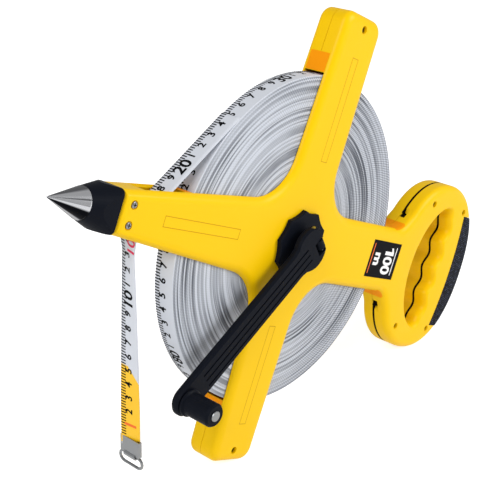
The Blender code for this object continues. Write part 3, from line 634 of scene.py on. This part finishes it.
def shell_cuts(side):
    low, high = sorted((-side, side * RIM_Y))
    cuts = [shell_hollow(side),
            make("hand_hole", loft([(side * y, offset(HOLE, out)) for y, out in hole_flare(side)])),
            make("roll_room", bar(ROLL_ROOM, low, high, 180)),
            make("tape_entry", block(-160, -124.5, low, high, 8, 30)),
            make("tape_exit", block(-161, -141, low, high, -30, -12))]
    low, high = sorted((-side, side * OUTSIDE_Y))
    cuts.append(make("hub_bore", bar(HUB_BORE, low, high, 64)))
    low, high = sorted((-side, side * GASKET_ROOM_HALF))
    cuts.append(make("gasket_room", block(148.5, 270, low, high, -80, 80)))
    cuts.append(pad_room("pad_seat", PAD_PROUD, 1.9))
    if side < 0:
        cuts += front_cuts()
    return cuts


def is_orange(centre, normal):
    """Whether a shell face takes the orange painted shade: the walls round the roll and the steep walls by
    the grip, in shadow and bounced yellow light.
    """
    radius = math.hypot(centre.x, centre.z)
    room_wall = abs(centre.y) < RIM_Y - 0.1 and ROLL_ROOM - 3 < radius < ROLL_ROOM + 3.5
    by_the_grip = centre.x > SHADE_TINT_START_X and radius < SHADE_TINT_REACH and abs(centre.z) < SHADE_TINT_HALF_HEIGHT
    steep = abs(normal.normalized().y) < 0.7
    return room_wall or (by_the_grip and steep and abs(centre.y) < SHADE_TINT_DEPTH)


def fine_shell(name, side, replaced):
    """One half of the frame with rounded edges, its deep walls in the orange painted shade."""
    shell = make(name, loft([(side * y, offset(FRAME, -out)) for y, out in EDGE]), (YELLOW, ORANGE_SHADE))
    carve(shell, shell_cuts(side))
    for face in shell.data.polygons:
        face.material_index = int(is_orange(INTO_REEL @ face.center, INTO_REEL.to_3x3() @ face.normal))
    smooth(shell, 28)
    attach(shell, "frame")
    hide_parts(replaced)


fine_shell("front_shell_fine", -1, "front_frame_shell")
fine_shell("rear_shell_fine", 1, "rear_frame_shell")
for which, z in (("upper", NOTCH_Z), ("lower", -NOTCH_Z)):
    riding(f"notch_fill_{which}", block(145.8, 149.6, -4.0, -1.0, z - 3, z + 1.5), GASKET)


def fine_pad():
    """The rubber pad with its dotted face."""
    levels = [(y + 0.25, offset(FRAME, -out + PAD_PROUD)) for y, out in EDGE[1:]]
    pad = make("grip_pad_fine", loft(both_sides(levels)), (RUBBER,))
    carve(pad, [pad_room("pad_extent", 0.0, 1.6)], "INTERSECT")
    smooth(pad, 40)
    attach(pad, "frame")
    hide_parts("grip_pad")


fine_pad()


# ---------------------------------------------------------------- the tape's way
def around(centre, radius, angle):
    return Vector((centre[0] + radius * math.cos(angle), centre[1] + radius * math.sin(angle)))


ROLLER_ANGLE = math.atan2(ROLLER[1], ROLLER[0]) % math.tau
LEAVE = ROLLER_ANGLE - math.acos((FREE_REACH - ROLLER_REACH) / math.hypot(*ROLLER))
HANG_TURN = math.pi + HANG
OFF_ROLLER = around(ROLLER, ROLLER_REACH, HANG_TURN)
ON_ROLLER = around(ROLLER, ROLLER_REACH, LEAVE)
OFF_ROLL = around((0, 0), FREE_REACH, LEAVE)
MARK_OFF_ROLLER = ZERO_DROP
MARK_ON_ROLLER = MARK_OFF_ROLLER + ROLLER_REACH * (HANG_TURN - LEAVE)
MARK_OFF_ROLL = MARK_ON_ROLLER + (OFF_ROLL - ON_ROLLER).length
ACROSS = Vector((0, 1, 0))


def outward(angle):
    return Vector((math.cos(angle), 0, math.sin(angle)))


def hanging_frame(down):
    """The tape below the roller, turning slowly about its own length."""
    centre = Vector((OFF_ROLLER.x + down * math.sin(HANG), 0, OFF_ROLLER.y - down * math.cos(HANG)))
    normal = outward(HANG_TURN)
    share = min(1.0, down / TWIST_LENGTH)
    twist = math.radians(TWIST_AT_ROLLER - TWIST_CHANGE * share) * min(1.0, down / TWIST_EASE)
    wide = ACROSS * math.cos(twist) - normal * math.sin(twist)
    return centre, wide, normal * math.cos(twist) + ACROSS * math.sin(twist)


def tape_frame(mark):
    """Centre, width direction and outward normal of the tape at a mark in millimetres from its zero."""
    if mark < MARK_OFF_ROLLER:
        return hanging_frame(MARK_OFF_ROLLER - mark)
    if mark < MARK_ON_ROLLER:
        normal = outward(HANG_TURN - (mark - MARK_OFF_ROLLER) / ROLLER_REACH)
        return Vector((ROLLER[0], 0, ROLLER[1])) + normal * ROLLER_REACH, ACROSS, normal
    if mark < MARK_OFF_ROLL:
        spot = ON_ROLLER + (OFF_ROLL - ON_ROLLER).normalized() * (mark - MARK_ON_ROLLER)
        return Vector((spot.x, 0, spot.y)), ACROSS, outward(LEAVE)
    normal = outward(LEAVE - (mark - MARK_OFF_ROLL) / PRINT_RADIUS)
    return normal * ROLL_RADIUS, ACROSS, normal


def tape_point(mark, v, lift):
    centre, wide, normal = tape_frame(mark)
    return centre + wide * v + normal * lift


def free_ribbon():
    """The free run as a thin strip, with its path and length."""
    bm = bmesh.new()
    first = ZERO_DROP - FREE_DROP
    steps = 220
    marks = [first + i * (MARK_OFF_ROLL - first) / steps for i in range(steps + 1)]
    columns = [-TAPE_HALF, -5, -2.5, 0, 2.5, 5, TAPE_HALF]
    grid = {}
    for side, lift in ((0, TAPE_THIN_HALF), (1, -TAPE_THIN_HALF)):
        for i, mark in enumerate(marks):
            for j, v in enumerate(columns):
                grid[side, i, j] = bm.verts.new(tape_point(mark, v, lift))
    last = len(columns) - 1
    for side in (0, 1):
        for i in range(steps):
            for j in range(last):
                corners = ((i, j), (i + 1, j), (i + 1, j + 1), (i, j + 1))
                face = bm.faces.new([grid[side, row, column] for row, column in corners])
                face.smooth = True
    for i in range(steps):
        for j in (0, last):
            bm.faces.new((grid[0, i, j], grid[0, i + 1, j], grid[1, i + 1, j], grid[1, i, j]))
    for j in range(last):
        for i in (0, steps):
            bm.faces.new((grid[0, i, j], grid[0, i, j + 1], grid[1, i, j + 1], grid[1, i, j]))
    ribbon = riding("tape_free_fine", bm, TAPE)
    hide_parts("tape_free_run")
    path = [REEL @ tape_frame(mark)[0] for mark in reversed(marks)]
    length = sum((b - a).length for a, b in zip(path, path[1:]))
    return ribbon, path, length


ribbon, ribbon_path, ribbon_length = free_ribbon()


# ---------------------------------------------------------------- prints on the tape
def lay_flat(bm, corners, lift):
    """A flat printed shape given as (mark, v) corners."""
    bm.faces.new([bm.verts.new(tape_point(mark, v, lift)) for mark, v in corners])


def leader():
    """The yellow leader at the tape's zero, ending in a slant, in small faces that follow the twist."""
    bm = bmesh.new()
    columns = 12

    def spot(mark, share):
        edge = -TAPE_HALF + max(0.0, 0.95 * (mark - 43))
        return mark, edge + (TAPE_HALF - edge) * share

    for low in range(-5, 53):
        for j in range(columns):
            first, second = j / columns, (j + 1) / columns
            corners = (spot(low, first), spot(low, second), spot(low + 1, second), spot(low + 1, first))
            lay_flat(bm, corners, LEADER_LIFT)
    riding("tape_leader", bm, principled("leader_look", srgb(255, 200, 20), 0.45))


def ticks(name, marks, body, lift):
    bm = bmesh.new()
    for mark in marks:
        inner = TAPE_HALF - (LONG_TICK_LENGTH if mark % 10 == 0 else TICK_LENGTH)
        low, high = mark - TICK_HALF, mark + TICK_HALF
        lay_flat(bm, [(low, TAPE_HALF), (high, TAPE_HALF), (high, inner), (low, inner)], lift)
    riding(name, bm, PRINT_AND_SLOT_SHADE, body)


def glyphs(bm, text, mark, v, size, lift, bold):
    """Lay text on the tape, running towards higher marks, its top towards the ticks."""
    mesh = text_mesh(text, size, bold, 3)
    verts = [bm.verts.new(tape_point(mark + p.co.x, v + p.co.y, lift)) for p in mesh.vertices]
    for face in mesh.polygons:
        bm.faces.new([verts[i] for i in face.vertices])


def numbers(name, marks, body, lift):
    """Centimetre digits, and a large number at every tenth centimetre."""
    bm = bmesh.new()
    for mark in marks:
        count, rest = divmod(mark, 10)
        if rest == 0 and count % 10:
            glyphs(bm, str(count % 10), mark, 0.9, DIGIT_SIZE, lift, 0.2)
        elif rest == 0 and count:
            glyphs(bm, str(count), mark, 0.0, LARGE_DIGIT_SIZE, lift, 0.32)
    riding(name, bm, PRINT_AND_SLOT_SHADE, body)


def coloured_number(name, text, mark, v, size, bold, mat):
    bm = bmesh.new()
    glyphs(bm, text, mark, v, size, COLOUR_LIFT, bold)
    riding(name, bm, mat)


leader()
free_marks = range(MARK_STEP, int(MARK_OFF_ROLL), MARK_STEP)
roll_marks = range(FIRST_ROLL_MARK, int(MARK_OFF_ROLL + math.tau * PRINT_RADIUS), MARK_STEP)
for part, marks, body, lift in (("free", free_marks, "frame", PRINT_LIFT),
                                ("roll", roll_marks, "reel", ROLL_PRINT_LIFT)):
    ticks(f"tape_ticks_{part}", marks, body, lift)
    numbers(f"tape_numbers_{part}", marks, body, lift)
coloured_number("tape_red_number", "10", 136.0, -3.6, 11.0, 0.25, PRINT_RED)
coloured_number("tape_orange_number", "1", 10.0, -0.5, 13.0, 0.35, PRINT_ORANGE)


# ---------------------------------------------------------------- roll
def fine_roll():
    """The wound roll as a ring with slightly broken edges."""
    edge = ROLL_RADIUS - 0.25
    rim = TAPE_HALF - 0.2
    profile = [(ROLL_BORE, -TAPE_HALF), (edge, -TAPE_HALF), (ROLL_RADIUS, -rim),
               (ROLL_RADIUS, rim), (edge, TAPE_HALF), (ROLL_BORE, TAPE_HALF)]
    roll = make("tape_roll_fine", turned(profile, 256, closed=True), (WINDING, TAPE))
    for face in roll.data.polygons:
        centre = INTO_REEL @ face.center
        face.material_index = int(math.hypot(centre.x, centre.z) > ROLL_RADIUS - 0.4)
    smooth(roll, 30)
    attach(roll, "reel")
    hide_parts("tape_roll")


fine_roll()


# ---------------------------------------------------------------- bands, lines and label
def arm_band(name, x_near, x_far, up):
    """An orange band of painted shade on an arm's side, from the roll's edge outwards."""
    shift = math.copysign(0.1, x_near)
    half, near, far = 8.0, 117.8, 131.0
    corners = ((x_near, -half, near), (x_near, half, near), (x_far, half, far), (x_far, -half, far))
    flat_piece(name, [[(x + shift, y, z * up) for x, y, z in corners]], ORANGE_SHADE)


def engraved_frame(name, x_low, x_high, z_low, z_high, width=0.45):
    """A thin engraved rectangle on the front face, drawn flat in darker yellow as painted shade in its
    groove.
    """
    bars = [(x_low, x_high, z_low, z_low + width), (x_low, x_high, z_high - width, z_high),
            (x_low, x_low + width, z_low, z_high), (x_high - width, x_high, z_low, z_high)]
    flat_piece(name, [rectangle(*sides, ENGRAVED_Y) for sides in bars], GROOVE_SHADE)


def label_text(name, text, x, size, stretch=1.0, shift=0.0):
    """White text on the label, running down -Z with its top towards +X."""
    bm = bmesh.new()
    bm.from_mesh(text_mesh(text, size, LABEL_BOLD))
    for vert in bm.verts:
        vert.co = Vector((x + vert.co.y, LABEL_PRINT_Y, -vert.co.x * stretch - shift))
    riding(name, bm, WHITE)


def label_one(x):
    """A heavy slab-sided digit one beside the zeros."""
    outline = ((-7.3, -5.9), (-4.3, -5.9), (-4.3, 7.3), (-6.4, 7.3), (-10.6, 4.9), (-10.6, 2.4), (-7.3, 3.9))
    flat_piece("label_number_one", [[(x + up, LABEL_PRINT_Y, -along) for along, up in outline]], WHITE)


def label_bar(name, x, half, mat):
    """A bar in place of a line of small text."""
    flat_piece(name, [rectangle(x - 0.55, x + 0.55, -half, half, LABEL_PRINT_Y)], mat)


for which, up in (("upper", 1), ("lower", -1)):
    arm_band(f"{which}_shade_band_left", -24.47, -23.85, up)
    arm_band(f"{which}_shade_band_right", 23.22, 23.08, up)
engraved_frame("line_spike_arm", -141, -67.5, -3.6, 3.6)
engraved_frame("line_upper_arm", -3.6, 3.6, 60, 134)
engraved_frame("line_lower_arm", -3.6, 3.6, -134, -60)
label_text("label_number_zeros", "00", 126.0, 17.6, 0.83, 4.1)
label_one(126.0)
label_text("label_unit", "m", 110.5, 14.0)
label_bar("label_bar_white", 136.3, 11.5, WHITE)
label_bar("label_bar_orange", 101.8, 12.2, PRINT_ORANGE)


# ---------------------------------------------------------------- finishes of the CAD nodes
def finish_nodes(names, mat, bevel=0.0):
    """Give CAD nodes a material and, where asked, softened edges of some millimetres."""
    for name in names:
        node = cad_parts[name]
        node.data.materials.clear()
        node.data.materials.append(mat)
        if bevel:
            modifier = node.modifiers.new("soft edges", "BEVEL")
            modifier.width = bevel * 0.001
            modifier.segments = 3
            modifier.limit_method = "ANGLE"
            modifier.angle_limit = math.radians(35)
            modifier.harden_normals = True


METAL = ("guide_pin", "hub_bolt", "crank_hinge_pin", "handle_rivet", "handle_washer", "tape_end_clamp",
         "tape_end_ring")
RECESSED = ("grip_screw", "knob_screw", "upper_arm", "lower_arm")
steel = [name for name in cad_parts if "screw" in name or name in METAL]
recessed = [name for name in steel if name.startswith(RECESSED)]
finish_nodes(["hub_knob", "crank_arm", "crank_handle", "rear_cap", "spike_collar"], BLACK, 0.35)
finish_nodes(["grip_gasket"], GASKET)
finish_nodes(["front_bush", "rear_bush", "spool_drum", "guide_roller"], GREY)
finish_nodes(["label_plate"], LABEL)
finish_nodes(["ground_spike"], REFLECTION_CHROME, 0.1)
finish_nodes([name for name in steel if name not in recessed], STEEL, 0.15)
# Screws sunk in recesses take the painted shade
finish_nodes(recessed, SHADED_SCREW_STEEL, 0.15)
# Black crosses on the spike screws: painted shade in their slots
for which, z in (("upper", SPIKE_SCREW_Z), ("lower", -SPIKE_SCREW_Z)):
    bars = [rectangle(SPIKE_SCREW_X - wide, SPIKE_SCREW_X + wide, z - tall, z + tall, SLOT_Y)
            for wide, tall in ((1.3, 0.28), (0.28, 1.3))]
    flat_piece(f"cross_slot_shade_{which}", bars, PRINT_AND_SLOT_SHADE)


# ---------------------------------------------------------------- floor, light, camera
def floor_look():
    """A light floor that the camera sees almost white."""
    mat = principled("floor_look", srgb(240, 240, 240), 0.9)
    tree = mat.node_tree
    shader = tree.nodes["Principled BSDF"]
    shader.inputs["Emission Color"].default_value = (1, 1, 1, 1)
    path = tree.nodes.new("ShaderNodeLightPath")
    glow = map_range(tree, path.outputs["Is Camera Ray"], 0.0, 1.0, 0.12, 0.7)
    tree.links.new(glow, shader.inputs["Emission Strength"])
    return mat


def add_floor():
    bm = bmesh.new()
    bmesh.ops.create_grid(bm, x_segments=1, y_segments=1, size=6.0)
    mesh = bpy.data.meshes.new("floor")
    bm.to_mesh(mesh)
    bm.free()
    mesh.materials.append(floor_look())
    floor = bpy.data.objects.new("floor", mesh)
    bpy.context.scene.collection.objects.link(floor)


def add_world():
    world = bpy.data.worlds.new("studio")
    world.use_nodes = True
    background = world.node_tree.nodes["Background"]
    background.inputs["Color"].default_value = (1, 1, 1, 1)
    background.inputs["Strength"].default_value = 0.36
    bpy.context.scene.world = world


def add_light(name, place, size, power, shine):
    """A square light aimed at the middle of the reel."""
    light = bpy.data.lights.new(name, "AREA")
    light.shape = "SQUARE"
    light.size = size
    light.energy = power
    light.specular_factor = shine
    obj = bpy.data.objects.new(name, light)
    obj.location = place
    obj.rotation_euler = (Vector(AIM) - Vector(place)).to_track_quat("-Z", "Y").to_euler()
    bpy.context.scene.collection.objects.link(obj)


def add_camera():
    camera = bpy.data.cameras.new("camera")
    camera.lens = LENS
    camera.sensor_width = 36
    obj = bpy.data.objects.new("camera", camera)
    obj.location = REEL @ Vector(CAMERA_PLACE)
    obj.rotation_euler = [math.radians(angle) for angle in CAMERA_TURN]
    bpy.context.scene.collection.objects.link(obj)
    bpy.context.scene.camera = obj


bpy.context.scene.view_settings.view_transform = "Standard"
add_floor()
add_world()
add_light("rim", (-1.3, -0.5, 1.4), 0.8, 15, 1.0)
add_light("main", (1.1, -1.5, 1.0), 0.9, 22, 0.15)
add_light("fill", (-1.4, 0.4, 0.9), 1.0, 3, 1.0)
add_camera()
